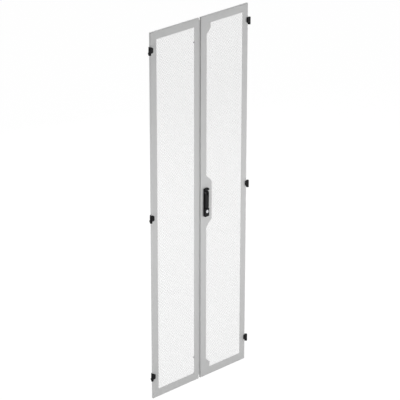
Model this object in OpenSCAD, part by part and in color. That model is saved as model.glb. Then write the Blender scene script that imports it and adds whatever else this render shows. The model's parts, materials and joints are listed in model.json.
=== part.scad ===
// Two-leaf perforated rack door: two folded sheet-steel leaves with honeycomb-perforated
// windows, six lift-off hinges, and a swing handle that drives two locking rods.
// The leaves' front faces lie in the plane Y = 0, +Y points into the rack, +Z is up,
// and X = 0 is the middle of the seam between the leaves.

/* [Door] */
// Overall width over both leaves
door_w = 598; // [560:1:640]
// Height of the leaves
door_h = 1840; // [1700:10:2100]
// Gap between the two leaves
seam_w = 12; // [10:0.5:16]
// Depth of a folded leaf
leaf_d = 10; // [9.5:0.5:14]
// Thickness of the folded sheet steel
sheet_t = 1.5; // [1:0.1:1.8]
// Width of the lip turned inwards along a leaf's rear edge
lip_w = 10; // [8:0.5:11]
// Outer radius of the folds along the front edges
fold_r = 2; // [1:0.1:3]
// Gap between the meeting strip and the right leaf
strip_clear = 0.85; // [0.85:0.05:3]

/* [Windows] */
// Height of the rail above the windows
top_rail = 37; // [30:1:50]
// Height of the rail below the windows
bottom_rail = 41; // [30:1:50]
// Width of the stiles along the hinges
hinge_stile = 34; // [28:0.5:45]
// Width of the left leaf's stile along the seam
left_seam_stile = 29.5; // [28:0.5:36]
// Width of the right leaf's stile along the seam
right_seam_stile = 34.5; // [34:0.5:40]
// How far the lock plate reaches past the right leaf's seam stile
lock_plate_w = 34; // [28:1:45]
// Height of the lock plate's straight edge
lock_plate_h = 195; // [185:1:240]
// How far the corner plates reach past the right leaf's seam stile
corner_plate_w = 24; // [12:1:30]
// Height of a corner plate's straight edge
corner_plate_h = 27; // [16:1:40]
// Radius of the windows' plain corners
window_r = 4; // [1:0.5:8]

/* [Perforated sheet] */
// Thickness of the perforated sheet
mesh_t = 1.2; // [0.8:0.1:1.5]
// Overlap of the perforated sheet behind the leaf's face
mesh_overlap = 5.5; // [4:0.5:5.5]
// Width across the flats of a hexagonal hole
hole_w = 46; // [36:1:60]
// Width of the web between two holes
web_w = 6; // [3:0.5:10]
// Unpierced rim of the sheet along a window's edge
mesh_rim = 1.2; // [0.8:0.1:3]

/* [Hinges] */
// Height of a closed hinge
hinge_h = 35; // [32:1:44]
// Height of the lower knuckle, on the rack's half
rack_knuckle_h = 9; // [8:0.5:12]
// How far a hinge stands in front of the leaves' faces
hinge_proud = 8; // [7:0.5:10]
// Radius of the knuckles
knuckle_r = 6; // [5:0.25:6.5]
// Distance of the hinge axis from the leaf's side
axis_out = 7; // [6.8:0.1:9]
// How far a hinge laps over the leaf's face
hinge_lap = 9; // [6:0.5:12]
// Radius of the hinge pins
hinge_pin_r = 2.5; // [2:0.1:3]
// Radial running clearance of a hinge pin
pin_play = 0.05; // [0.03:0.01:0.08]
// Height of the top hinges' centres below the leaves' tops
top_hinge_drop = 86; // [70:1:150]
// Height of the bottom hinges' centres above the leaves' bottoms
bottom_hinge_rise = 115; // [90:1:160]
// Thickness of the rack plates
rack_plate_t = 3; // [2.5:0.25:4]
// Width of the rack plates behind the leaves
rack_plate_in = 15; // [13:0.5:20]
// Distance between a rack plate's two screw holes
rack_hole_pitch = 20; // [16:1:24]
// Radius of the rack plates' screw holes
rack_hole_r = 2.75; // [2:0.05:3.2]
// Radius of the screws that hold the knuckle blocks
hinge_screw_r = 2; // [1.5:0.1:2.2]

/* [Swing handle] */
// Width of the handle base
handle_w = 26; // [24:0.5:30]
// Height of the handle base
handle_h = 142; // [138:1:160]
// Distance of the handle's axis from the leaf's seam edge
handle_inset = 28.5; // [28:0.5:30]
// Thickness of the handle base's plate
base_t = 4; // [3:0.25:5]
// How far the handle stands in front of the leaf
handle_proud = 14; // [13:0.5:18]
// Height of the lock housing at the base's foot
lock_housing_h = 41.5; // [38:0.5:50]
// Distance of the turning head's axis below the base's top
head_drop = 25; // [24:0.5:30]
// Radius of the turning head's disc
head_r = 11; // [9:0.5:11.5]
// Radius of the turning head's journal
journal_r = 8; // [6:0.25:9]
// Width of the square spindle
spindle_w = 7; // [6:0.1:7.2]
// Width of the lever
lever_w = 22; // [18:0.5:24]
// Thickness of the lever
lever_t = 7; // [6:0.25:8]
// Gap between the lever's foot and the lock housing
lever_gap = 2; // [1.5:0.1:4]
// Width of the head's tang between the lever's ears
tang_w = 8; // [6:0.5:10]
// Radius of the lever's pin
lever_pin_r = 2; // [1.5:0.1:2.2]
// Height of the lever's pin above the turning head's axis
lever_pin_rise = 6; // [4:0.5:6.5]
// Radius of the lock cylinder
cylinder_r = 7.5; // [6.5:0.25:8]
// Radius of the lock's plug
plug_r = 5; // [4:0.25:5.5]
// Height of the lock's axis above the base's foot
cylinder_rise = 26.5; // [24:0.5:30]

/* [Rod drive] */
// Module of the pinion and racks
gear_m = 1.6; // [1.5:0.05:1.65]
// Teeth of the pinion
pinion_teeth = 10; // [10:2:10]
// Pressure angle of the teeth
pressure = 25; // [22:1:27]
// Clearance between meshed flanks
flank_play = 0.2; // [0.1:0.05:0.35]
// Width of a rack behind its teeth
rack_w = 6.3; // [5:0.1:6.5]
// Thickness of the racks
rack_t = 4; // [3:0.25:4.5]
// Radius of the locking rods
rod_r = 4; // [3:0.25:4]
// Radial running clearance of the rods in their guides
rod_play = 0.06; // [0.03:0.01:0.09]
// Distance of the rods' axes behind the leaf's face
rod_y = 6; // [5.8:0.1:6.3]
// Angle that the handle turns through
handle_turn = 90; // [60:5:90]
// Length of a rod guide
guide_h = 16; // [12:1:24]
// Length of a rod's hook
hook_h = 22; // [16:1:30]
// Height of the gearbox above the turning head's axis
gearbox_up = 36; // [34:1:40]
// Height of the gearbox below the turning head's axis
gearbox_down = 32; // [30:1:38]
// Distance of the nearest rod guide above the turning head's axis
upper_guide_rise = 140; // [120:5:200]
// Distance of the nearest rod guide below the handle's foot
lower_guide_drop = 90; // [70:5:150]

/* [Slide bolts] */
// Width of a slide bolt
bolt_w = 8; // [6:0.5:8]
// Thickness of a slide bolt
bolt_t = 3; // [2:0.25:3.2]
// Length of a slide bolt
bolt_len = 106; // [90:1:140]
// Height of a slide bolt's guide
bolt_guide_h = 40; // [30:1:50]
// Height of the lug at a slide bolt's end
lug_h = 14; // [10:1:18]
// Travel of a slide bolt
bolt_travel = 14; // [8:1:16]

/* [Small parts] */
// Clearance between pieces that move past each other
gap = 0.3; // [0.3:0.05:0.5]
// How far the hooks and bolts reach behind the leaf
keeper_reach = 10; // [6:1:14]
// Radius of the rubber buffers
buffer_r = 4; // [3:0.25:4.5]
// Distance of the inner buffers from a leaf's seam edge
inner_buffer_inset = 60; // [40:5:100]
// Distance of the outer buffers from a leaf's side
outer_buffer_inset = 40; // [30:5:80]
// Radius of the earthing studs
stud_r = 3; // [2:0.5:3]
// Height of the earthing studs above the leaves' bottoms
stud_rise = 180; // [160:5:300]

/* [Hidden] */
$fn = 48;
eps = 0.01;

sheet_grey = [0.78, 0.79, 0.78];
mesh_grey = [0.82, 0.83, 0.82];
hinge_black = [0.08, 0.08, 0.09];
handle_black = [0.13, 0.13, 0.14];
zinc = [0.72, 0.73, 0.75];
steel = [0.6, 0.61, 0.63];
nylon = [0.2, 0.2, 0.21];
rubber = [0.1, 0.1, 0.1];

// Leaves and windows
seam_edge = seam_w / 2;
side_edge = door_w / 2;
back_of_face = sheet_t;
lip_front = leaf_d - sheet_t;
window_top = door_h - top_rail;
window_bottom = bottom_rail;
window_out = side_edge - hinge_stile;
left_window_in = seam_edge + left_seam_stile;
right_window_in = seam_edge + right_seam_stile;
mesh_back = back_of_face + mesh_t;
hole_pitch = hole_w + web_w;

// Handle
handle_x = seam_edge + handle_inset;
handle_z = door_h / 2 + 2;
handle_top = handle_z + handle_h / 2;
handle_foot = handle_z - handle_h / 2;
head_z = handle_top - head_drop;
cylinder_z = handle_foot + cylinder_rise;
lock_housing_top = handle_foot + lock_housing_h;
disc_back = -base_t - gap;
lever_back = lever_t - handle_proud;
disc_front = lever_back + gap;
lever_foot = lock_housing_top + lever_gap;
lever_pin_z = head_z + lever_pin_rise;
lever_pin_y = (lever_back - handle_proud) / 2;
ear_r = lever_t / 2;
lever_top_z = lever_pin_z + ear_r;
brow_z = head_z + norm([lever_top_z - head_z, lever_w / 2]) + 1.2;
boss_r = journal_r + 3;

// Rod drive
pitch_r = gear_m * pinion_teeth / 2;
tooth_pitch = PI * gear_m;
addendum = 0.8 * gear_m;
dedendum = 1.05 * gear_m;
rod_travel = pitch_r * handle_turn * PI / 180;
rack_reach = pitch_r + dedendum + rack_w;
rack_back = rod_y - rack_t / 2;
rod_x = handle_x - pitch_r - dedendum - rack_w / 2;
box_floor = back_of_face + 2;
box_left = handle_x - rack_reach - gap - 1.8;
box_right = handle_x + rack_reach + gap + 3;
box_bottom = head_z - gearbox_down;
box_top = head_z + gearbox_up;
box_back = rod_y + rack_t / 2 + 0.5;
cover_t = 2;
upper_rack_end = head_z - 2.1 * tooth_pitch;
upper_rod_start = box_top + rod_travel + 2;
lower_rack_end = head_z + 2.1 * tooth_pitch;
jog_top = box_bottom - rod_travel - 2;
jog_h = 12;
lower_rod_start = jog_top - jog_h - 8;
hub_r = spindle_w * 0.5 * sqrt(2) + 1.3;
hub_back = box_back + cover_t + 0.5;
hook_end = door_h - lip_w - 8;
keeper_y = leaf_d + keeper_reach;
last_guide_z = hook_end - hook_h - rod_travel - guide_h / 2 - 6;
first_guide_z = head_z + upper_guide_rise;
upper_guides = [first_guide_z, (first_guide_z + last_guide_z) / 2, last_guide_z];
below_handle_z = handle_foot - lower_guide_drop;
lowest_guide_z = door_h - last_guide_z;
lower_guides = [below_handle_z, (below_handle_z + lowest_guide_z) / 2, lowest_guide_z];
guide_stud_x = rod_x + rod_r + 4.3;
guide_stud_r = 1.5;

// Slide bolts
bolt_x = -(seam_edge + lip_w + 1.6 + bolt_w / 2);
bolt_y = back_of_face + 2 + gap + bolt_t / 2;
knob_r = 4;

// Hinges
hinge_x = side_edge + axis_out;
hinge_y = knuckle_r - hinge_proud;
hinge_zs = [bottom_hinge_rise, door_h / 2 + 16, door_h - top_hinge_drop];
hinge_low = -hinge_h / 2;
split_z = hinge_low + rack_knuckle_h;
plate_front = leaf_d + 0.8;
plate_back = plate_front + rack_plate_t;
web_out = side_edge + 5;
rack_web_out = side_edge + 4;
screw_y = (back_of_face + lip_front) / 2;
hinge_screw_zs = [split_z + 8, split_z + 20];

// A box between two corners
module block(low, high) {
    translate(low) cube(high - low);
}

// An outline in the X-Z plane, as thick as from y0 to y1
module plate_xz(y0, y1) {
    translate([0, y1, 0]) rotate([90, 0, 0]) linear_extrude(y1 - y0) children();
}

// A round bar along Y
module bar_y(x, z, y0, y1, r) {
    translate([x, y0, z]) rotate([-90, 0, 0]) cylinder(h = y1 - y0, r = r);
}

// A hexagonal nut along Y
module nut_y(x, z, y0, y1, across, bore_r) {
    difference() {
        translate([x, y0, z]) rotate([-90, 0, 0]) cylinder(h = y1 - y0, r = across / sqrt(3), $fn = 6);
        bar_y(x, z, y0 - 1, y1 + 1, bore_r);
    }
}

// A rectangle with round corners between two corners
module round_rect(low, high, r) {
    translate([low[0] + r, low[1]]) square([high[0] - low[0] - 2 * r, high[1] - low[1]]);
    translate([low[0], low[1] + r]) square([high[0] - low[0], high[1] - low[1] - 2 * r]);
    for (x = [low[0] + r, high[0] - r], z = [low[1] + r, high[1] - r])
        translate([x, z]) circle(r);
}

// A box whose front edges are folded with a radius
module folded_box(x0, x1, z0, z1, y1, r) {
    intersection() {
        translate([0, 0, z0]) linear_extrude(z1 - z0) union() {
            translate([x0 + r, 0]) square([x1 - x0 - 2 * r, y1]);
            translate([x0, r]) square([x1 - x0, y1 - r]);
            for (x = [x0 + r, x1 - r]) translate([x, r]) circle(r);
        }
        translate([x0, 0, 0]) rotate([90, 0, 90]) linear_extrude(x1 - x0) union() {
            translate([r, z0]) square([y1 - r, z1 - z0]);
            translate([0, z0 + r]) square([y1, z1 - z0 - 2 * r]);
            for (z = [z0 + r, z1 - r]) translate([r, z]) circle(r);
        }
    }
}

// Folded tray of a leaf, without its window, on the +X side
module leaf_tray() {
    difference() {
        folded_box(seam_edge, side_edge, 0, door_h, leaf_d, fold_r);
        block([seam_edge + sheet_t, back_of_face, sheet_t],
              [side_edge - sheet_t, lip_front, door_h - sheet_t]);
        block([seam_edge + lip_w, lip_front - 1, lip_w],
              [side_edge - lip_w, leaf_d + 1, door_h - lip_w]);
        for (z = hinge_zs, dz = hinge_screw_zs)
            translate([side_edge - 2 * sheet_t, screw_y, z + dz])
                rotate([0, 90, 0]) cylinder(h = 3 * sheet_t, r = hinge_screw_r + 0.2);
        for (p = buffer_places) bar_y(p[0], p[1], lip_front - 1, leaf_d + 1, buffer_stem_r);
    }
}

// Windows. grow moves every edge outwards by the same distance.
module left_window(grow) {
    r = window_r + grow;
    mirror([1, 0]) round_rect([left_window_in - grow, window_bottom - grow],
                              [window_out + grow, window_top + grow], r);
}

module right_window(grow) {
    cut = grow * (sqrt(2) - 1);
    x_in = right_window_in - grow;
    x_plate = right_window_in + lock_plate_w - grow;
    x_corner = right_window_in + corner_plate_w - grow;
    plate_z = lock_plate_h / 2 - cut;
    corner_z = corner_plate_h - cut;
    difference() {
        round_rect([x_in, window_bottom - grow], [window_out + grow, window_top + grow], window_r + grow);
        polygon([
            [x_in - 1, handle_z - plate_z - lock_plate_w - 1], [x_in, handle_z - plate_z - lock_plate_w],
            [x_plate, handle_z - plate_z], [x_plate, handle_z + plate_z],
            [x_in, handle_z + plate_z + lock_plate_w], [x_in - 1, handle_z + plate_z + lock_plate_w + 1]
        ]);
        polygon([
            [x_in - 1, window_top + grow + 1], [x_corner, window_top + grow + 1],
            [x_corner, window_top - corner_z],
            [x_in, window_top - corner_z - corner_plate_w],
            [x_in - 1, window_top - corner_z - corner_plate_w - 1]
        ]);
        polygon([
            [x_in - 1, window_bottom - grow - 1], [x_corner, window_bottom - grow - 1],
            [x_corner, window_bottom + corner_z],
            [x_in, window_bottom + corner_z + corner_plate_w],
            [x_in - 1, window_bottom + corner_z + corner_plate_w + 1]
        ]);
    }
}

// Staggered hexagons over the whole of a window, cut off along a thin rim at its edge
module honeycomb(side) {
    row = hole_pitch * sqrt(3) / 2;
    low = side > 0 ? right_window_in : left_window_in;
    middle = (low + window_out) / 2;
    columns = ceil((window_out - low) / hole_pitch / 2) + 1;
    rows = ceil((window_top - window_bottom) / row / 2);
    intersection() {
        if (side > 0) right_window(-mesh_rim);
        else left_window(-mesh_rim);
        for (j = [-rows : rows], i = [-columns : columns])
            translate([side * (middle + (i + (j % 2 == 0 ? 0 : 0.5)) * hole_pitch),
                       (window_top + window_bottom) / 2 + j * row])
                rotate(30) circle(r = hole_w / sqrt(3), $fn = 6);
    }
}

module left_leaf_frame() {
    color(sheet_grey) difference() {
        mirror([1, 0, 0]) leaf_tray();
        plate_xz(-1, lip_front - 1) left_window(0);
    }
}

module right_leaf_frame() {
    color(sheet_grey) difference() {
        leaf_tray();
        plate_xz(-1, lip_front - 1) right_window(0);
        bar_y(handle_x, head_z, -1, lip_front - 1, boss_r + 0.2);
        bar_y(handle_x, cylinder_z, -1, lip_front - 1, cylinder_r + 0.2);
        for (z = handle_screw_zs) bar_y(handle_x, z, -1, lip_front - 1, handle_screw_r + 0.2);
    }
}

module left_perforated_sheet() {
    color(mesh_grey) plate_xz(back_of_face, mesh_back) difference() {
        left_window(mesh_overlap);
        honeycomb(-1);
    }
}

module right_perforated_sheet() {
    color(mesh_grey) plate_xz(back_of_face, mesh_back) difference() {
        right_window(mesh_overlap);
        honeycomb(1);
    }
}

// Rack's half of one hinge on the +X side, centred at z = 0
module rack_hinge_half() {
    difference() {
        union() {
            block([side_edge - rack_plate_in, plate_front, hinge_low],
                  [side_edge, plate_back, -hinge_low]);
            block([side_edge - 1, plate_front, hinge_low], [rack_web_out, plate_back, split_z]);
            block([side_edge + 2 * gap, hinge_y, hinge_low], [rack_web_out, plate_front + 1, split_z]);
            translate([hinge_x, hinge_y, hinge_low]) cylinder(h = split_z - hinge_low, r = knuckle_r);
        }
        translate([hinge_x, hinge_y, hinge_low - 1]) cylinder(h = hinge_h, r = hinge_pin_r);
        for (z = [-1, 1] * rack_hole_pitch / 2) {
            bar_y(side_edge - rack_plate_in / 2, z, plate_front - 1, plate_back + 1, rack_hole_r);
        }
    }
}

// Leaf's half of one hinge on the +X side: a block lapped over the leaf's edge
module leaf_hinge_half() {
    low = split_z + gap;
    high = -hinge_low;
    bevel = 4;
    difference() {
        union() {
            intersection() {
                block([side_edge - hinge_lap, -hinge_proud, low], [hinge_x, 0, high]);
                plate_xz(-hinge_proud - 1, 1) polygon([
                    [side_edge - hinge_lap, low + bevel], [side_edge - hinge_lap + bevel, low],
                    [hinge_x + 1, low], [hinge_x + 1, high],
                    [side_edge - hinge_lap + bevel, high], [side_edge - hinge_lap, high - bevel]
                ]);
            }
            block([side_edge, -1, low], [web_out, lip_front + 1, high]);
            translate([hinge_x, hinge_y, low]) cylinder(h = high - low, r = knuckle_r);
        }
        translate([hinge_x, hinge_y, low - 1]) cylinder(h = hinge_h, r = hinge_pin_r + pin_play);
        for (z = hinge_screw_zs)
            translate([side_edge - 1, screw_y, z]) rotate([0, 90, 0]) cylinder(h = 5, r = hinge_screw_r);
    }
}

// Screw from inside the leaf into its half of the hinge
module hinge_screw() {
    head_h = 2;
    translate([side_edge - sheet_t - head_h, screw_y, 0]) rotate([0, 90, 0]) difference() {
        union() {
            cylinder(h = head_h, r = 1.6 * hinge_screw_r);
            cylinder(h = head_h + sheet_t + 4, r = hinge_screw_r);
        }
        translate([0, 0, -1]) cylinder(h = 2, r = hinge_screw_r * 0.6, $fn = 6);
    }
}

module at_hinges() {
    for (z = hinge_zs) translate([0, 0, z]) children();
}

module rack_hinge_plates_right() {
    color(hinge_black) at_hinges() rack_hinge_half();
}

module rack_hinge_plates_left() {
    color(hinge_black) mirror([1, 0, 0]) at_hinges() rack_hinge_half();
}

module right_hinge_knuckles() {
    color(hinge_black) at_hinges() leaf_hinge_half();
}

module left_hinge_knuckles() {
    color(hinge_black) mirror([1, 0, 0]) at_hinges() leaf_hinge_half();
}

module hinge_pin() {
    translate([hinge_x, hinge_y, hinge_low]) cylinder(h = hinge_h - 3, r = hinge_pin_r);
}

module hinge_pins_right() {
    color(steel) at_hinges() hinge_pin();
}

module hinge_pins_left() {
    color(steel) mirror([1, 0, 0]) at_hinges() hinge_pin();
}

module hinge_screws() {
    color(zinc) at_hinges() for (z = hinge_screw_zs) translate([0, 0, z]) hinge_screw();
}

module right_hinge_screws() {
    hinge_screws();
}

module left_hinge_screws() {
    mirror([1, 0, 0]) hinge_screws();
}

// Strip behind the seam, welded to the left leaf's lip and clear of the right leaf
module meeting_strip() {
    end_z = lip_w + 4;
    color(sheet_grey) block([-seam_edge - lip_w, leaf_d, end_z],
                            [seam_edge - strip_clear, leaf_d + sheet_t, door_h - end_z]);
}

// Rubber buffers on the top and bottom lips
buffer_stem_r = 1.5;
buffer_places = [
    for (x = [seam_edge + inner_buffer_inset, side_edge - outer_buffer_inset],
         z = [lip_w / 2, door_h - lip_w / 2]) [x, z]
];
module buffers() {
    color(rubber) for (p = buffer_places) union() {
        bar_y(p[0], p[1], leaf_d, plate_back, buffer_r);
        bar_y(p[0], p[1], lip_front - 0.5, leaf_d + 1, buffer_stem_r);
    }
}

module right_buffers() {
    buffers();
}

module left_buffers() {
    mirror([1, 0, 0]) buffers();
}

// Earthing stud welded behind the hinge stile, with its nut
stud_x = side_edge - lip_w - 1.8 * stud_r - 0.5;
stud_end = back_of_face + 12;
module earth_stud() {
    color(steel) bar_y(stud_x, stud_rise, back_of_face, stud_end, stud_r);
}

module earth_nut() {
    color(zinc) nut_y(stud_x, stud_rise, back_of_face + 2, back_of_face + 7, 3.2 * stud_r, stud_r);
    color(zinc) difference() {
        bar_y(stud_x, stud_rise, back_of_face, back_of_face + 2, 1.75 * stud_r);
        bar_y(stud_x, stud_rise, back_of_face - 1, back_of_face + 3, stud_r);
    }
}

module right_earth_stud() {
    earth_stud();
}

module left_earth_stud() {
    mirror([1, 0, 0]) earth_stud();
}

module right_earth_nut() {
    earth_nut();
}

module left_earth_nut() {
    mirror([1, 0, 0]) earth_nut();
}

// Slide bolt at the top of the left leaf; the lower one is its mirror image
bolt_end = hook_end;
bolt_start = bolt_end - bolt_len;
bolt_guide_z = bolt_end - lug_h - bolt_travel - 2 - bolt_guide_h / 2;
module bolt_guide() {
    half = bolt_w / 2 + gap;
    difference() {
        block([bolt_x - half - 3, back_of_face, bolt_guide_z - bolt_guide_h / 2],
              [bolt_x + half + 5, lip_front - gap, bolt_guide_z + bolt_guide_h / 2]);
        block([bolt_x - half, bolt_y - bolt_t / 2 - gap, 0],
              [bolt_x + half, bolt_y + bolt_t / 2 + gap, door_h]);
        block([bolt_x - half + 1.5, bolt_y, bolt_guide_z - bolt_guide_h / 4],
              [bolt_x + half - 1.5, lip_front + 1, bolt_guide_z + bolt_guide_h / 4]);
    }
}

module slide_bolt() {
    difference() {
        union() {
            block([bolt_x - bolt_w / 2, bolt_y - bolt_t / 2, bolt_start],
                  [bolt_x + bolt_w / 2, bolt_y + bolt_t / 2, bolt_end]);
            translate([bolt_x - bolt_w / 2, 0, 0]) rotate([90, 0, 90]) linear_extrude(bolt_w) polygon([
                [bolt_y, bolt_end - lug_h], [keeper_y - 3, bolt_end - lug_h],
                [keeper_y, bolt_end - lug_h + 3],
                [keeper_y, bolt_end - 7], [keeper_y - 7, bolt_end], [bolt_y, bolt_end]
            ]);
        }
        bar_y(bolt_x, bolt_start + 8, 0, leaf_d, 2);
    }
}

module bolt_knob() {
    z = bolt_start + 8;
    bar_y(bolt_x, z, bolt_y - bolt_t / 2, bolt_y + bolt_t / 2, 2);
    translate([bolt_x, bolt_y + bolt_t / 2, z]) rotate([-90, 0, 0]) rotate_extrude() polygon([
        [0, 0], [knob_r - 1, 0], [knob_r - 1, leaf_d - bolt_y], [knob_r, leaf_d - bolt_y + 2],
        [knob_r, keeper_y - bolt_y - 4], [knob_r - 1.2, keeper_y - bolt_y - 2], [0, keeper_y - bolt_y - 2]
    ]);
}

module upside_down() {
    translate([0, 0, door_h]) mirror([0, 0, 1]) children();
}

module upper_bolt_guide() {
    color(zinc) bolt_guide();
}

module lower_bolt_guide() {
    color(zinc) upside_down() bolt_guide();
}

module upper_slide_bolt() {
    color(steel) slide_bolt();
}

module lower_slide_bolt() {
    color(steel) upside_down() slide_bolt();
}

module upper_bolt_knob() {
    color(nylon) bolt_knob();
}

module lower_bolt_knob() {
    color(nylon) upside_down() bolt_knob();
}

// Handle base: a dished plate, a lock housing at its foot and a brow above the lever
handle_screw_r = 2.5;
handle_screw_zs = [handle_foot + 10, brow_z + 4];
module handle_base() {
    half = handle_w / 2;
    housing_r = 3;
    color(handle_black) difference() {
        union() {
            plate_xz(-base_t, 0)
                round_rect([handle_x - half, handle_foot], [handle_x + half, handle_top], housing_r);
            intersection() {
                plate_xz(-handle_proud, 0)
                    round_rect([handle_x - half, handle_foot], [handle_x + half, handle_top], housing_r);
                translate([0, -handle_proud, 0])
                    folded_box(handle_x - half, handle_x + half, handle_foot, handle_top, handle_proud, 2);
                for (z = [[handle_foot, lock_housing_top], [brow_z, handle_top]])
                    block([handle_x - half, -handle_proud, z[0]], [handle_x + half, 0, z[1]]);
            }
            bar_y(handle_x, head_z, -1, back_of_face, boss_r);
        }
        bar_y(handle_x, head_z, -handle_proud, back_of_face + 1, journal_r + pin_play);
        bar_y(handle_x, cylinder_z, -handle_proud - 1, 1, cylinder_r);
        for (z = handle_screw_zs) bar_y(handle_x, z, -base_t - 2.5, 1, handle_screw_r);
    }
}

module handle_screws() {
    color(zinc) for (z = handle_screw_zs) {
        seat = z > head_z ? box_floor : back_of_face;
        difference() {
            union() {
                bar_y(handle_x, z, -base_t - 2.5, seat + 1, handle_screw_r);
                bar_y(handle_x, z, seat, seat + 2.6, 1.5 * handle_screw_r);
            }
            translate([handle_x, seat + 1, z]) rotate([-90, 0, 0]) cylinder(h = 3, r = 1.5, $fn = 6);
        }
    }
}

// Turning head: a disc with a tang for the lever, a journal and a square spindle
module turning_head() {
    tang_low = lever_pin_z - 6;
    color(handle_black) difference() {
        union() {
            bar_y(handle_x, head_z, disc_front, disc_back, head_r);
            bar_y(handle_x, head_z, disc_back - 1, back_of_face, journal_r);
            block([handle_x - spindle_w / 2, 0, head_z - spindle_w / 2],
                  [handle_x + spindle_w / 2, hub_back, head_z + spindle_w / 2]);
            block([handle_x - tang_w / 2, lever_pin_y, tang_low],
                  [handle_x + tang_w / 2, disc_front + 1, lever_pin_z + 3]);
            translate([handle_x - tang_w / 2, lever_pin_y, lever_pin_z])
                rotate([0, 90, 0]) cylinder(h = tang_w, r = 3);
        }
        translate([handle_x - tang_w, lever_pin_y, lever_pin_z])
            rotate([0, 90, 0]) cylinder(h = 2 * tang_w, r = lever_pin_r + pin_play);
        bar_y(handle_x, head_z, 0, hub_back + 1, 2);
    }
}

// Lever: a crowned bar whose ears straddle the head's tang
module swing_lever() {
    half = lever_w / 2;
    slot_low = lever_pin_z - 13;
    lever_r = 3;
    color(handle_black) difference() {
        intersection() {
            translate([handle_x - half, 0, 0]) rotate([90, 0, 90]) linear_extrude(lever_w) union() {
                polygon([
                    [lever_back, lever_foot + 1], [lever_back, lever_pin_z],
                    [-handle_proud, lever_pin_z], [-handle_proud, lever_foot + 4],
                    [-handle_proud + 3, lever_foot], [lever_back - 1, lever_foot]
                ]);
                translate([lever_pin_y, lever_pin_z]) circle(ear_r);
            }
            plate_xz(-handle_proud - 1, 0)
                round_rect([handle_x - half, lever_foot], [handle_x + half, lever_top_z], lever_r);
            translate([0, -handle_proud, lever_foot]) linear_extrude(lever_top_z - lever_foot) union() {
                translate([handle_x - half + 2, 0]) square([lever_w - 4, lever_t]);
                translate([handle_x - half, 2]) square([lever_w, lever_t - 2]);
                for (x = [handle_x - half + 2, handle_x + half - 2]) translate([x, 2]) circle(2);
            }
        }
        block([handle_x - tang_w / 2 - gap, -handle_proud - 1, slot_low],
              [handle_x + tang_w / 2 + gap, 0, lever_top_z + 1]);
        translate([handle_x - lever_w, lever_pin_y, lever_pin_z])
            rotate([0, 90, 0]) cylinder(h = 2 * lever_w, r = lever_pin_r);
        translate([handle_x - half + 4, lever_back, lever_foot + 12]) rotate([0, 90, 0])
            cylinder(h = lever_w - 8, r = 2.5);
    }
}

module lever_pin() {
    color(zinc) translate([handle_x - lever_w / 2 + 0.3, lever_pin_y, lever_pin_z])
        rotate([0, 90, 0]) cylinder(h = lever_w - 0.6, r = lever_pin_r);
}

// Lock: a cylinder in the base's foot, a plug with a key slot, and a cam behind
cylinder_front = -handle_proud - 0.6;
cylinder_back = back_of_face + 6.5;
module lock_cylinder() {
    color(zinc) difference() {
        bar_y(handle_x, cylinder_z, cylinder_front, cylinder_back, cylinder_r);
        bar_y(handle_x, cylinder_z, cylinder_front - 1, cylinder_back + 1, plug_r + pin_play);
    }
}

module lock_plug() {
    slot_w = 1.6;
    slot_h = 7;
    color(zinc) difference() {
        bar_y(handle_x, cylinder_z, cylinder_front + 0.3, cylinder_back + gap, plug_r);
        block([handle_x - slot_w / 2, cylinder_front - 1, cylinder_z - slot_h / 2],
              [handle_x + slot_w / 2, cylinder_front + 12, cylinder_z + slot_h / 2]);
        bar_y(handle_x, cylinder_z, cylinder_back - 6, cylinder_back + 1, 1.5);
    }
}

cam_back = cylinder_back + gap + 2;
module lock_cam() {
    color(steel) difference() {
        plate_xz(cylinder_back + gap, cam_back) union() {
            translate([handle_x, cylinder_z]) circle(4.5);
            translate([handle_x - 3, cylinder_z - 13]) square([6, 13]);
        }
        bar_y(handle_x, cylinder_z, 0, cam_back + 1, 1.5);
    }
}

module cam_screw() {
    color(zinc) union() {
        bar_y(handle_x, cylinder_z, cylinder_back - 5, cam_back + 1, 1.5);
        bar_y(handle_x, cylinder_z, cam_back, cam_back + 1.8, 3);
    }
}

// Gearbox behind the lock plate: a tray with two bosses, closed by a cover
gearbox_boss_zs = [box_bottom + 8, box_top - 5];
gearbox_boss_r = 3.6;
gearbox_screw_r = 2;
module gearbox_housing() {
    wall_in_left = handle_x - rack_reach - gap;
    wall_in_right = handle_x + rack_reach + gap;
    color(zinc) difference() {
        union() {
            difference() {
                block([box_left, back_of_face, box_bottom], [box_right, box_back, box_top]);
                block([wall_in_left, box_floor, box_bottom - 1], [wall_in_right, box_back + 1, box_top + 1]);
            }
            for (z = gearbox_boss_zs) bar_y(handle_x, z, back_of_face, box_back, gearbox_boss_r);
        }
        bar_y(handle_x, head_z, 0, box_back, hub_r + gap);
        bar_y(handle_x, handle_screw_zs[1], 0, box_back, handle_screw_r + 0.2);
        for (z = gearbox_boss_zs) bar_y(handle_x, z, 0, box_back + 1, gearbox_screw_r);
    }
}

module gearbox_cover() {
    color(zinc) difference() {
        block([box_left, box_back, box_bottom], [box_right, box_back + cover_t, box_top]);
        bar_y(handle_x, head_z, box_back - 1, box_back + cover_t + 1, hub_r + rod_play);
        for (z = gearbox_boss_zs) bar_y(handle_x, z, box_back - 1, box_back + cover_t + 1, gearbox_screw_r);
    }
}

module gearbox_screws() {
    color(steel) for (z = gearbox_boss_zs) difference() {
        union() {
            bar_y(handle_x, z, back_of_face, box_back + cover_t + 1, gearbox_screw_r);
            bar_y(handle_x, z, box_back + cover_t, box_back + cover_t + 2.4, 1.8 * gearbox_screw_r);
        }
        translate([handle_x, box_back + cover_t + 1, z]) rotate([-90, 0, 0])
            cylinder(h = 3, r = 1.3, $fn = 6);
    }
}

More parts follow.
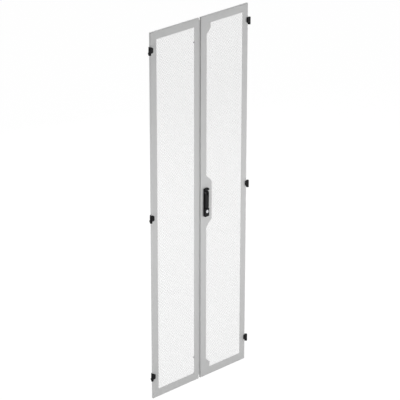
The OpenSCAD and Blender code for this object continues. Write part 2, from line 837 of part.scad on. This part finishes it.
// Involute teeth: half-angle of a tooth at radius r
base_r = pitch_r * cos(pressure);
function inv_deg(a) = tan(a) * 180 / PI - a;
function half_tooth(r) = 90 / pinion_teeth - flank_play / 4 / pitch_r * 180 / PI
    + inv_deg(pressure) - inv_deg(acos(min(1, base_r / r)));
function polar(r, a) = [r * cos(a), r * sin(a)];
module pinion_outline() {
    steps = 5;
    tip_r = pitch_r + addendum;
    root_r = pitch_r - dedendum;
    flank = [for (i = [0 : steps]) base_r + (tip_r - base_r) * i / steps];
    polygon([
        for (t = [0 : pinion_teeth - 1]) let (a = t * 360 / pinion_teeth) each concat(
            [polar(root_r, a - half_tooth(base_r))],
            [for (r = flank) polar(r, a - half_tooth(r))],
            [for (i = [steps : -1 : 0]) polar(flank[i], a + half_tooth(flank[i]))],
            [polar(root_r, a + half_tooth(base_r))]
        )
    ]);
}

module drive_pinion() {
    fit = 0.05;
    color(steel) difference() {
        union() {
            plate_xz(rod_y - rack_t / 2 - 0.2, rod_y + rack_t / 2 + 0.2)
                translate([handle_x, head_z]) pinion_outline();
            bar_y(handle_x, head_z, rod_y, hub_back, hub_r);
        }
        block([handle_x - spindle_w / 2 - fit, 0, head_z - spindle_w / 2 - fit],
              [handle_x + spindle_w / 2 + fit, hub_back + 1, head_z + spindle_w / 2 + fit]);
    }
}

module spindle_screw() {
    color(zinc) difference() {
        union() {
            bar_y(handle_x, head_z, hub_back - 8, hub_back + 1, 2);
            bar_y(handle_x, head_z, hub_back, hub_back + 2.4, spindle_w * 0.65);
        }
        translate([handle_x, hub_back + 1, head_z]) rotate([-90, 0, 0]) cylinder(h = 3, r = 1.5, $fn = 6);
    }
}

// Teeth of a rack: x is measured from the pitch line towards the pinion
module rack_teeth(first, last) {
    half = tooth_pitch / 4 - flank_play / 4;
    lean = tan(pressure);
    for (k = [first : last]) translate([0, (k + 0.5) * tooth_pitch]) polygon([
        [-dedendum - eps, -half - dedendum * lean], [addendum, -half + addendum * lean],
        [addendum, half - addendum * lean], [-dedendum - eps, half + dedendum * lean]
    ]);
}

module upper_rack() {
    color(steel) plate_xz(rack_back, rack_back + rack_t) union() {
        translate([handle_x - pitch_r, head_z]) rack_teeth(-2, 3);
        translate([handle_x - rack_reach, upper_rack_end]) square([rack_w, upper_rod_start - upper_rack_end]);
    }
}

module lower_rack() {
    far = handle_x + rack_reach;
    near = handle_x - rack_reach;
    color(steel) plate_xz(rack_back, rack_back + rack_t) union() {
        translate([handle_x + pitch_r, head_z]) mirror([1, 0]) rack_teeth(-4, 1);
        translate([far - rack_w, jog_top - jog_h]) square([rack_w, lower_rack_end - jog_top + jog_h]);
        translate([near, jog_top - jog_h]) square([far - near, jog_h]);
        translate([near, lower_rod_start]) square([rack_w, jog_top - lower_rod_start]);
    }
}

module rod(z0, z1) {
    translate([rod_x, rod_y, z0]) cylinder(h = z1 - z0, r = rod_r);
}

module upper_rod() {
    color(zinc) rod(upper_rod_start, hook_end - 4);
}

module lower_rod() {
    color(zinc) rod(door_h - hook_end + 4, lower_rod_start);
}

// Hook at the end of a rod, ramped towards the rack's keeper
module rod_hook() {
    half = rod_r + 1;
    low = hook_end - hook_h;
    difference() {
        translate([rod_x - half, 0, 0]) rotate([90, 0, 90]) linear_extrude(2 * half) polygon([
            [back_of_face + gap, low], [keeper_y - 3, low], [keeper_y, low + 3], [keeper_y, hook_end - 9],
            [keeper_y - 8, hook_end], [back_of_face + gap, hook_end]
        ]);
        translate([rod_x, rod_y, low - 1]) cylinder(h = hook_h - 3, r = rod_r);
    }
}

module upper_rod_hook() {
    color(nylon) rod_hook();
}

module lower_rod_hook() {
    color(nylon) upside_down() rod_hook();
}

// Guides that carry the rods behind the seam stile
module at_guides() {
    for (z = concat(upper_guides, lower_guides)) translate([0, 0, z]) children();
}

module rod_guide() {
    ear_t = 3;
    translate([0, 0, -guide_h / 2]) linear_extrude(guide_h) difference() {
        union() {
            translate([rod_x - rod_r - 2.5, back_of_face])
                square([2 * rod_r + 4, lip_front - gap - back_of_face]);
            translate([rod_x - rod_r - 1.2, back_of_face])
                square([2 * rod_r + 2.4, rod_y + rod_r + 1.5 - back_of_face]);
            translate([rod_x, back_of_face]) square([guide_stud_x + 3 - rod_x, ear_t]);
        }
        translate([rod_x, rod_y]) circle(rod_r + rod_play);
    }
}

module rod_guides() {
    color(nylon) at_guides() difference() {
        rod_guide();
        bar_y(guide_stud_x, 0, 0, leaf_d, guide_stud_r);
    }
}

module rod_guide_studs() {
    color(steel) at_guides() bar_y(guide_stud_x, 0, back_of_face, back_of_face + 7, guide_stud_r);
}

module rod_guide_nuts() {
    color(zinc) at_guides() nut_y(guide_stud_x, 0, back_of_face + 3, back_of_face + 5.4, 4.6, guide_stud_r);
}

rack_hinge_plates_left();
rack_hinge_plates_right();
hinge_pins_left();
hinge_pins_right();
left_leaf_frame();
left_perforated_sheet();
left_hinge_knuckles();
left_hinge_screws();
meeting_strip();
left_buffers();
left_earth_stud();
left_earth_nut();
upper_bolt_guide();
upper_slide_bolt();
upper_bolt_knob();
lower_bolt_guide();
lower_slide_bolt();
lower_bolt_knob();
right_leaf_frame();
right_perforated_sheet();
right_hinge_knuckles();
right_hinge_screws();
right_buffers();
right_earth_stud();
right_earth_nut();
handle_base();
handle_screws();
turning_head();
swing_lever();
lever_pin();
lock_cylinder();
lock_plug();
lock_cam();
cam_screw();
gearbox_housing();
gearbox_cover();
gearbox_screws();
drive_pinion();
spindle_screw();
upper_rack();
upper_rod();
upper_rod_hook();
lower_rack();
lower_rod();
lower_rod_hook();
rod_guides();
rod_guide_studs();
rod_guide_nuts();
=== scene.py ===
import json
import math

import bmesh
import bpy
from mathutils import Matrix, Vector


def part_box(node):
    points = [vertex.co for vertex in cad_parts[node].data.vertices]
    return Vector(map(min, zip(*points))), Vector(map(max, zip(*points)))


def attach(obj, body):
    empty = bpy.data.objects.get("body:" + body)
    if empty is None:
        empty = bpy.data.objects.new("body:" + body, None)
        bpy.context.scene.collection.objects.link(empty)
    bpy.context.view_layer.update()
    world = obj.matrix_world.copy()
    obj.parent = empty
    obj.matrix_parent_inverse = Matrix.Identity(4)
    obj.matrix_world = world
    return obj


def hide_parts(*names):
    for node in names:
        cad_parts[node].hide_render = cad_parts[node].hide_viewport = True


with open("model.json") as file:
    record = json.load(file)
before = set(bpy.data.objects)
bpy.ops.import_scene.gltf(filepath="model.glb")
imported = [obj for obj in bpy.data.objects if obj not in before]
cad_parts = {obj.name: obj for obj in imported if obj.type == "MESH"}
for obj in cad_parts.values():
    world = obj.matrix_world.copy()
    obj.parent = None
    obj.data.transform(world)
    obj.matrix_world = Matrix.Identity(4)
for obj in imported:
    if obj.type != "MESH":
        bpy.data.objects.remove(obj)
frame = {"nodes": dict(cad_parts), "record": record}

scene = bpy.context.scene
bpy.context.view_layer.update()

# The door's height and middle, taken from the frame, in metres
DOOR_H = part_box("right_leaf_frame")[1].z
MIDDLE_Z = DOOR_H / 2
DOOR_MIDDLE = Vector((0, 0, MIDDLE_Z))

# How far the perforated sheets lap behind the leaves' faces
LAP = 0.0055
# Lap behind the lock plate and the corner plates, which have more room behind them
PLATE_LAP = 0.011
# Hexagonal holes: rough distance between centres, and hole width as a share of that distance
HOLE_PITCH = 0.0095
HOLE_SHARE = 0.925
# Parts of the right window that its plates cover: widths and heights as on the frame
LOCK_PLATE_W, LOCK_PLATE_H = 0.034, 0.195
CORNER_PLATE_W, CORNER_PLATE_H = 0.024, 0.027
LOCK_PLATE_Z = MIDDLE_Z + 0.002

# Range of a noise that a colour or a number runs over
NOISE_LOW, NOISE_HIGH = 0.3, 0.7
# Cosine of the angle from a face to its rounded form, where wear begins and where it is full
WEAR_BEGINS, WEAR_FULL = 0.98, 0.80

# Camera: a long lens from the left, looking a little down. It stands this far from the door's
# middle along its view, and this far to the right and up, square to its view
CAMERA_YAW = math.radians(42.59)
CAMERA_PITCH = math.radians(23.87)
CAMERA_DISTANCE = 10.436
CAMERA_ASIDE, CAMERA_RAISE = -0.035, 0.076
CAMERA_LENS, CAMERA_SENSOR = 201.5, 36
CAMERA_SHIFT = (0.019, -0.030)

# How much of what the camera sees of the floor is a plain glow, the rest being the light on it.
# The glow makes up for the rest, which is a little less than white
FLOOR_WHITENESS = 0.86
FLOOR_GLOW = 1.12
FLOOR_COLOUR = (0.82, 0.82, 0.82, 1)
# Half of the floor's side, in metres
FLOOR_REACH = 30
# Strength of the room's light on the door
ROOM_STRENGTH = 0.24


# ---------------------------------------------------------------- materials

# Sockets of a colour's Mix node, which has a set of them for each kind of value
MIX_FACTOR, MIX_FIRST, MIX_SECOND = 0, 6, 7
MIX_RESULT = 2


class Nodes:
    """A small helper that adds shader nodes to a material and joins them."""

    def __init__(self, name):
        self.material = bpy.data.materials.new(name)
        self.material.use_nodes = True
        self.tree = self.material.node_tree
        self.shader = self.tree.nodes["Principled BSDF"]
        self.place = self.add("ShaderNodeTexCoord").outputs["Object"]

    def add(self, kind, **settings):
        node = self.tree.nodes.new(kind)
        for key, value in settings.items():
            setattr(node, key, value)
        return node

    def join(self, output, socket):
        self.tree.links.new(output, socket)

    def noise(self, scale, detail=2.0, roughness=0.5, stretch=None):
        place = self.place
        if stretch:
            mapping = self.add("ShaderNodeMapping")
            mapping.inputs["Scale"].default_value = stretch
            self.join(place, mapping.inputs["Vector"])
            place = mapping.outputs["Vector"]
        texture = self.add("ShaderNodeTexNoise")
        texture.inputs["Scale"].default_value = scale
        texture.inputs["Detail"].default_value = detail
        texture.inputs["Roughness"].default_value = roughness
        self.join(place, texture.inputs["Vector"])
        return texture.outputs["Fac"]

    def between(self, factor, low, high):
        """A number that runs from low to high as the noise does."""
        spread = self.add("ShaderNodeMapRange")
        spread.inputs["From Min"].default_value = NOISE_LOW
        spread.inputs["From Max"].default_value = NOISE_HIGH
        spread.inputs["To Min"].default_value = low
        spread.inputs["To Max"].default_value = high
        self.join(factor, spread.inputs["Value"])
        return spread.outputs["Result"]

    def edges(self, radius):
        """One along the edges, patchy as wear is, and nought on the faces."""
        rounded = self.add("ShaderNodeBevel", samples=6)
        rounded.inputs["Radius"].default_value = radius
        flat = self.add("ShaderNodeNewGeometry")
        likeness = self.add("ShaderNodeVectorMath", operation="DOT_PRODUCT")
        self.join(rounded.outputs["Normal"], likeness.inputs[0])
        self.join(flat.outputs["True Normal"], likeness.inputs[1])
        near = self.add("ShaderNodeMapRange")
        near.inputs["From Min"].default_value = WEAR_BEGINS
        near.inputs["From Max"].default_value = WEAR_FULL
        self.join(likeness.outputs["Value"], near.inputs["Value"])
        patchy = self.add("ShaderNodeMath", operation="MULTIPLY")
        self.join(near.outputs["Result"], patchy.inputs[0])
        grain = self.noise(240, detail=4, roughness=0.7)
        self.join(self.between(grain, 0.2, 1.0), patchy.inputs[1])
        return patchy.outputs["Value"]

    def wear(self, radius, colour):
        """Mixes another colour into the one there is along the edges."""
        socket = self.shader.inputs["Base Color"]
        mix = self.add("ShaderNodeMix", data_type="RGBA")
        self.join(self.edges(radius), mix.inputs[MIX_FACTOR])
        self.join(socket.links[0].from_socket, mix.inputs[MIX_FIRST])
        mix.inputs[MIX_SECOND].default_value = (*colour, 1)
        self.join(mix.outputs[MIX_RESULT], socket)

    def colours(self, factor, dark, light):
        """A colour that runs from dark to light as the noise does."""
        ramp = self.add("ShaderNodeValToRGB")
        first, last = ramp.color_ramp.elements
        first.position, first.color = NOISE_LOW, (*dark, 1)
        last.position, last.color = NOISE_HIGH, (*light, 1)
        self.join(factor, ramp.inputs["Fac"])
        self.join(ramp.outputs["Color"], self.shader.inputs["Base Color"])

    def roughness(self, factor, low, high):
        """Roughness that runs from low to high as the noise does."""
        self.join(self.between(factor, low, high), self.shader.inputs["Roughness"])

    def bump(self, height, distance):
        """Relief of up to a distance, in metres."""
        bump = self.add("ShaderNodeBump")
        bump.inputs["Distance"].default_value = distance
        bump.inputs["Strength"].default_value = 1.0
        self.join(height, bump.inputs["Height"])
        self.join(bump.outputs["Normal"], self.shader.inputs["Normal"])

    def set(self, **values):
        """Numbers that are the same all over, by their sockets' names."""
        for key, value in values.items():
            self.shader.inputs[key.replace("_", " ")].default_value = value


def shade(colour, factor):
    """A colour made darker or lighter."""
    return tuple(c * factor for c in colour)


def powder_coat(name, colour, rough=0.42, grain=900, depth=0.00004, shine=0.4, worn=None):
    """Paint baked on sheet steel: fine orange peel, faintly uneven tone and gloss."""
    coat = Nodes(name)
    coat.colours(coat.noise(scale=5, detail=4), shade(colour, 0.975), colour)
    coat.roughness(coat.noise(scale=38, detail=5), rough - 0.05, rough + 0.06)
    coat.wear(radius=0.0007, colour=worn or shade(colour, 1.12))
    coat.bump(coat.noise(grain, detail=3, roughness=0.6), depth)
    coat.set(Specular_IOR_Level=shine)
    return coat.material


def moulded_plastic(name, colour, rough, grain=1400, depth=0.00006):
    """Glass-filled polyamide with a spark-eroded grain."""
    plastic = Nodes(name)
    plastic.colours(plastic.noise(scale=14, detail=3), shade(colour, 0.9), shade(colour, 1.15))
    plastic.roughness(plastic.noise(scale=60, detail=4), rough - 0.06, rough + 0.08)
    plastic.wear(radius=0.0008, colour=(0.040, 0.040, 0.041))
    plastic.bump(plastic.noise(grain, detail=4, roughness=0.7), depth)
    plastic.set(Specular_IOR_Level=0.14)
    return plastic.material


def plated_metal(name, colour, rough, stretch, depth=0.00001):
    """Zinc-plated or ground steel: fine lines along the grain and a cloudy tone."""
    metal = Nodes(name)
    metal.colours(metal.noise(scale=22, detail=5), shade(colour, 0.80), colour)
    metal.wear(radius=0.0005, colour=shade(colour, 1.25))
    lines = metal.noise(scale=160, detail=4, roughness=0.6, stretch=stretch)
    metal.roughness(lines, rough - 0.07, rough + 0.12)
    metal.bump(lines, depth)
    metal.set(Metallic=1.0)
    return metal.material


SLOT_MATERIALS = {
    "painted_sheet": powder_coat("painted_sheet", (0.705, 0.707, 0.705)),
    "perforated_sheet": powder_coat("perforated_sheet", (0.810, 0.812, 0.810), rough=0.45),
    "hinge_black": powder_coat("hinge_black", (0.005, 0.005, 0.006), rough=0.48, grain=1300,
                               depth=0.00005, shine=0.10, worn=(0.035, 0.035, 0.036)),
    "handle_black": moulded_plastic("handle_black", (0.008, 0.008, 0.009), rough=0.50),
    "zinc_plate": plated_metal("zinc_plate", (0.64, 0.65, 0.67), rough=0.42, stretch=(1, 1, 6)),
    "steel": plated_metal("steel", (0.52, 0.53, 0.55), rough=0.36, stretch=(6, 6, 1)),
    "nylon": moulded_plastic("nylon", (0.050, 0.050, 0.052), rough=0.40, grain=900,
                             depth=0.00003),
    "rubber": moulded_plastic("rubber", (0.020, 0.020, 0.020), rough=0.72, grain=1800,
                              depth=0.00008),
}


def dress_frame():
    """Gives each CAD node its slot's material."""
    for part in frame["record"]["subparts"]:
        node = frame["nodes"][part["node"]]
        node.data.materials.clear()
        node.data.materials.append(SLOT_MATERIALS[part["material_slot"]])


# Width that each slot's edges are broken to, in metres. The sheets' slot isn't here, because the
# scene's own sheets stand for the CAD's
EDGE_WIDTHS = {
    "hinge_black": 0.0006,
    "handle_black": 0.0007,
    "painted_sheet": 0.0003,
    "zinc_plate": 0.0003,
    "steel": 0.0002,
    "nylon": 0.0004,
    "rubber": 0.0005,
}
# Corners closer than the distance become one, faces that meet at less than the flat angle become
# one, and edges sharper than the sharp angle are broken
WELD_DISTANCE = 0.000002
FLAT_ANGLE = math.radians(1)
SHARP_ANGLE = math.radians(50)


def soften_edges():
    """Breaks the sharp edges, as casting, moulding and paint do."""
    for part in frame["record"]["subparts"]:
        width = EDGE_WIDTHS.get(part["material_slot"])
        if width is None:
            continue
        node = frame["nodes"][part["node"]]
        weld = node.modifiers.new("weld", "WELD")
        weld.merge_threshold = WELD_DISTANCE
        faces = node.modifiers.new("whole faces", "DECIMATE")
        faces.decimate_type = "DISSOLVE"
        faces.angle_limit = FLAT_ANGLE
        bevel = node.modifiers.new("broken edges", "BEVEL")
        bevel.width = width
        bevel.segments = 2
        bevel.limit_method = "ANGLE"
        bevel.angle_limit = SHARP_ANGLE


# ---------------------------------------------------------------- perforated sheets

def clipped(points, corner, outward):
    """The part of a flat polygon on the inner side of a line through corner."""
    kept = []
    for i, here in enumerate(points):
        there = points[(i + 1) % len(points)]
        here_past = (here - corner).dot(outward)
        there_past = (there - corner).dot(outward)
        if here_past <= 0:
            kept.append(here)
        if here_past * there_past < 0:
            kept.append(here.lerp(there, here_past / (here_past - there_past)))
    return kept


def past_all(lines, point):
    """Whether a point is on the outer side of every line."""
    return all((point - corner).dot(outward) > 0 for corner, outward in lines)


class Outline:
    """A sheet's outline: a rectangle, less notches for the plates in front of it.

    A line is (corner, direction out of the sheet). The rectangle has four, a notch is a list of
    them, and a point lies in the notch when it is past them all. Points are across and up."""

    def __init__(self, low, high, notches=()):
        self.sides = [
            (low, Vector((-1, 0))), (low, Vector((0, -1))),
            (high, Vector((1, 0))), (high, Vector((0, 1))),
        ]
        self.notches = notches

    def holds(self, points):
        """Whether all the points are on the sheet."""
        for corner, outward in self.sides:
            if any((p - corner).dot(outward) > 0 for p in points):
                return False
        return not any(past_all(notch, p) for notch in self.notches for p in points)

    def trim(self, points):
        """The part of a polygon that is on the sheet. A notch cuts it along its nearest line."""
        for corner, outward in self.sides:
            points = clipped(points, corner, outward)
        for notch in self.notches:
            if not any(past_all(notch, p) for p in points):
                continue
            middle = sum(points, Vector((0, 0))) / len(points)
            corner, outward = min(notch, key=lambda line: abs((middle - line[0]).dot(line[1])))
            points = clipped(points, corner, outward)
        return points if len(points) > 2 else []


# One side of a slant at 45 degrees, and how much a lap shortens the upright edge beside it
SLANT = math.sqrt(0.5)
LAP_SHARE = math.sqrt(2) - 1


def lock_notch(edge_x):
    """The place that the lock plate covers, less the lap: one upright edge and two slants."""
    half = LOCK_PLATE_H / 2 - PLATE_LAP * LAP_SHARE
    x = edge_x + LOCK_PLATE_W - PLATE_LAP
    return [
        (Vector((x, 0)), Vector((-1, 0))),
        (Vector((x, LOCK_PLATE_Z + half)), Vector((-SLANT, -SLANT))),
        (Vector((x, LOCK_PLATE_Z - half)), Vector((-SLANT, SLANT))),
    ]


def corner_notch(edge_x, edge_z, way):
    """The place that a corner plate covers; way is 1 at the window's top and -1 at its foot."""
    x = edge_x + CORNER_PLATE_W - PLATE_LAP
    z = edge_z - way * (CORNER_PLATE_H - PLATE_LAP * LAP_SHARE)
    return [
        (Vector((x, 0)), Vector((-1, 0))),
        (Vector((x, z)), Vector((-SLANT, way * SLANT))),
    ]


def hexagon(centre, half_pitch, row_height, share):
    """Corners of a share of a cell, which has a point up, in a pattern of such cells."""
    reach = row_height * 2 / 3
    corners = [(0, reach), (half_pitch, reach / 2), (half_pitch, -reach / 2),
               (0, -reach), (-half_pitch, -reach / 2), (-half_pitch, reach / 2)]
    return [centre + Vector(c) * share for c in corners]


# Corners are shared where they are the same to a millionth of a metre
MICRONS = 1e6


def pierced_front(window_low, window_high, front_y, outline):
    """A flat face pierced all over with hexagons, whose pattern fits the window and runs on
    behind the window's edges as far as the outline."""
    width = window_high.x - window_low.x
    height = window_high.y - window_low.y
    columns = round(width / HOLE_PITCH * 2)
    half_pitch = width / columns
    rows = round(height / (half_pitch * math.sqrt(3)))
    row_height = height / rows
    mesh = bmesh.new()
    corners = {}

    def corner(point):
        key = (round(point.x * MICRONS), round(point.y * MICRONS))
        if key not in corners:
            corners[key] = mesh.verts.new((point.x, front_y, point.y))
        return corners[key]

    def face(points):
        found = []
        for point in points:
            vert = corner(point)
            if vert not in found:
                found.append(vert)
        if len(found) > 2:
            mesh.faces.new(found)

    # The rows are staggered, so every second place in a row is empty
    for row in range(-1, rows + 2):
        for column in range(-2, columns + 3):
            if (row + column) % 2:
                continue
            centre = window_low + Vector((column * half_pitch, row * row_height))
            cell = hexagon(centre, half_pitch, row_height, 1)
            hole = hexagon(centre, half_pitch, row_height, HOLE_SHARE)
            if outline.holds(hole):
                for this in range(6):
                    following = (this + 1) % 6
                    face(outline.trim([cell[this], cell[following], hole[following], hole[this]]))
            else:
                face(outline.trim(cell))
    return mesh


def thicken(mesh, back_y):
    """Gives a flat face its back, and walls round its outline and in its holes."""
    front = list(mesh.faces)
    rims = [edge for edge in mesh.edges if len(edge.link_faces) == 1]
    behind = {vert: mesh.verts.new((vert.co.x, back_y, vert.co.z)) for vert in list(mesh.verts)}
    for face in front:
        mesh.faces.new([behind[vert] for vert in reversed(face.verts)])
    for edge in rims:
        start, end = edge.verts
        mesh.faces.new([start, end, behind[end], behind[start]])
    bmesh.ops.recalc_face_normals(mesh, faces=mesh.faces)


def perforated_sheet(name, window_low, window_high, front_y, back_y, notches):
    """A sheet of honeycomb that laps behind the window's edges."""
    lap = Vector((LAP, LAP))
    outline = Outline(window_low - lap, window_high + lap, notches)
    mesh = pierced_front(window_low, window_high, front_y, outline)
    thicken(mesh, back_y)
    data = bpy.data.meshes.new(name)
    mesh.to_mesh(data)
    mesh.free()
    data.materials.append(SLOT_MATERIALS["perforated_sheet"])
    sheet = bpy.data.objects.new(name, data)
    scene.collection.objects.link(sheet)
    return sheet


def hang_sheets():
    """Fine perforated sheets in the place of the CAD's coarse ones."""
    for side in ("left", "right"):
        node = f"{side}_perforated_sheet"
        low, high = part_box(node)
        window_low = Vector((low.x + LAP, low.z + LAP))
        window_high = Vector((high.x - LAP, high.z - LAP))
        notches = []
        if side == "right":
            notches = [
                lock_notch(window_low.x),
                corner_notch(window_low.x, window_high.y, 1),
                corner_notch(window_low.x, window_low.y, -1),
            ]
        sheet = perforated_sheet(f"{side}_honeycomb", window_low, window_high,
                                 low.y, high.y, notches)
        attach(sheet, f"{side}_leaf")
        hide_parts(node)


# ---------------------------------------------------------------- room, light and camera

def seen_directly(tree):
    """One for the rays that show a surface to the camera or in a reflection, nought for others."""
    path = tree.nodes.new("ShaderNodeLightPath")
    seen = path.outputs["Is Camera Ray"]
    for ray in ("Is Glossy Ray", "Is Transmission Ray"):
        either = tree.nodes.new("ShaderNodeMath")
        either.operation = "MAXIMUM"
        tree.links.new(seen, either.inputs[0])
        tree.links.new(path.outputs[ray], either.inputs[1])
        seen = either.outputs[0]
    return seen


def pale_floor():
    """A white floor that keeps the soft shadow under the door.

    The camera and reflections see it as nearly all white, less a share of the shadow on it."""
    material = bpy.data.materials.new("floor_white")
    material.use_nodes = True
    tree = material.node_tree
    shader = tree.nodes["Principled BSDF"]
    shader.inputs["Base Color"].default_value = FLOOR_COLOUR
    shader.inputs["Roughness"].default_value = 0.9
    shader.inputs["Specular IOR Level"].default_value = 0.0
    white = tree.nodes.new("ShaderNodeEmission")
    white.inputs["Strength"].default_value = FLOOR_GLOW
    share = tree.nodes.new("ShaderNodeMath")
    share.operation = "MULTIPLY"
    share.inputs[1].default_value = FLOOR_WHITENESS
    mix = tree.nodes.new("ShaderNodeMixShader")
    tree.links.new(seen_directly(tree), share.inputs[0])
    tree.links.new(share.outputs[0], mix.inputs["Fac"])
    tree.links.new(shader.outputs[0], mix.inputs[1])
    tree.links.new(white.outputs[0], mix.inputs[2])
    tree.links.new(mix.outputs[0], tree.nodes["Material Output"].inputs["Surface"])
    data = bpy.data.meshes.new("floor")
    far = FLOOR_REACH
    corners = [(-far, -far, 0), (far, -far, 0), (far, far, 0), (-far, far, 0)]
    data.from_pydata(corners, [], [(0, 1, 2, 3)])
    data.materials.append(material)
    floor = bpy.data.objects.new("floor", data)
    scene.collection.objects.link(floor)


def white_room():
    """White for the camera and in reflections, a soft grey room for the light on the door."""
    world = bpy.data.worlds.new("room")
    world.use_nodes = True
    scene.world = world
    tree = world.node_tree
    tree.nodes.clear()
    out = tree.nodes.new("ShaderNodeOutputWorld")
    mix = tree.nodes.new("ShaderNodeMixShader")
    room = tree.nodes.new("ShaderNodeBackground")
    white = tree.nodes.new("ShaderNodeBackground")
    for background, strength in ((room, ROOM_STRENGTH), (white, 1.0)):
        background.inputs["Color"].default_value = (1, 1, 1, 1)
        background.inputs["Strength"].default_value = strength
    tree.links.new(seen_directly(tree), mix.inputs["Fac"])
    tree.links.new(room.outputs[0], mix.inputs[1])
    tree.links.new(white.outputs[0], mix.inputs[2])
    tree.links.new(mix.outputs[0], out.inputs["Surface"])


def softbox(name, place, aim, size, watts):
    """A rectangular lamp at a place, turned to what it lights."""
    lamp = bpy.data.lights.new(name, "AREA")
    lamp.shape = "RECTANGLE"
    lamp.size, lamp.size_y = size
    lamp.energy = watts
    holder = bpy.data.objects.new(name, lamp)
    holder.location = place
    holder.rotation_euler = (Vector(aim) - Vector(place)).to_track_quat("-Z", "Y").to_euler()
    scene.collection.objects.link(holder)


def light_up():
    """Soft lamps: the key leaves the seam dark, the near one lights the middle most."""
    lock = Vector((0.05, 0, MIDDLE_Z - 0.1))
    near = lock + Vector((0, -1.1, 0))
    softbox("key_softbox", (1.7, -2.2, MIDDLE_Z + 0.1), DOOR_MIDDLE, size=(1.3, 1.2), watts=21.7)
    softbox("near_softbox", near, lock, size=(0.3, 0.4), watts=2)
    softbox("side_softbox", (-1.8, -0.35, MIDDLE_Z), DOOR_MIDDLE, size=(0.6, 1.4), watts=11.6)
    softbox("top_softbox", (0, 0.4, DOOR_H + 2.0), DOOR_MIDDLE, size=(2.0, 1.2), watts=13)
    softbox("rear_softbox", (1.0, 2.6, DOOR_H), DOOR_MIDDLE, size=(1.6, 2.0), watts=27)


def set_camera():
    forward = Vector((math.sin(CAMERA_YAW) * math.cos(CAMERA_PITCH),
                      math.cos(CAMERA_YAW) * math.cos(CAMERA_PITCH),
                      -math.sin(CAMERA_PITCH)))
    right = Vector((math.cos(CAMERA_YAW), -math.sin(CAMERA_YAW), 0))
    up = right.cross(forward)
    lens = bpy.data.cameras.new("camera")
    lens.lens = CAMERA_LENS
    lens.sensor_width = CAMERA_SENSOR
    lens.shift_x, lens.shift_y = CAMERA_SHIFT
    lens.clip_end = 100
    camera = bpy.data.objects.new("camera", lens)
    camera.location = (DOOR_MIDDLE - forward * CAMERA_DISTANCE
                       + right * CAMERA_ASIDE + up * CAMERA_RAISE)
    camera.rotation_euler = forward.to_track_quat("-Z", "Y").to_euler()
    scene.collection.objects.link(camera)
    scene.camera = camera


dress_frame()
soften_edges()
hang_sheets()
pale_floor()
white_room()
light_up()
set_camera()
scene.view_settings.view_transform = "Standard"
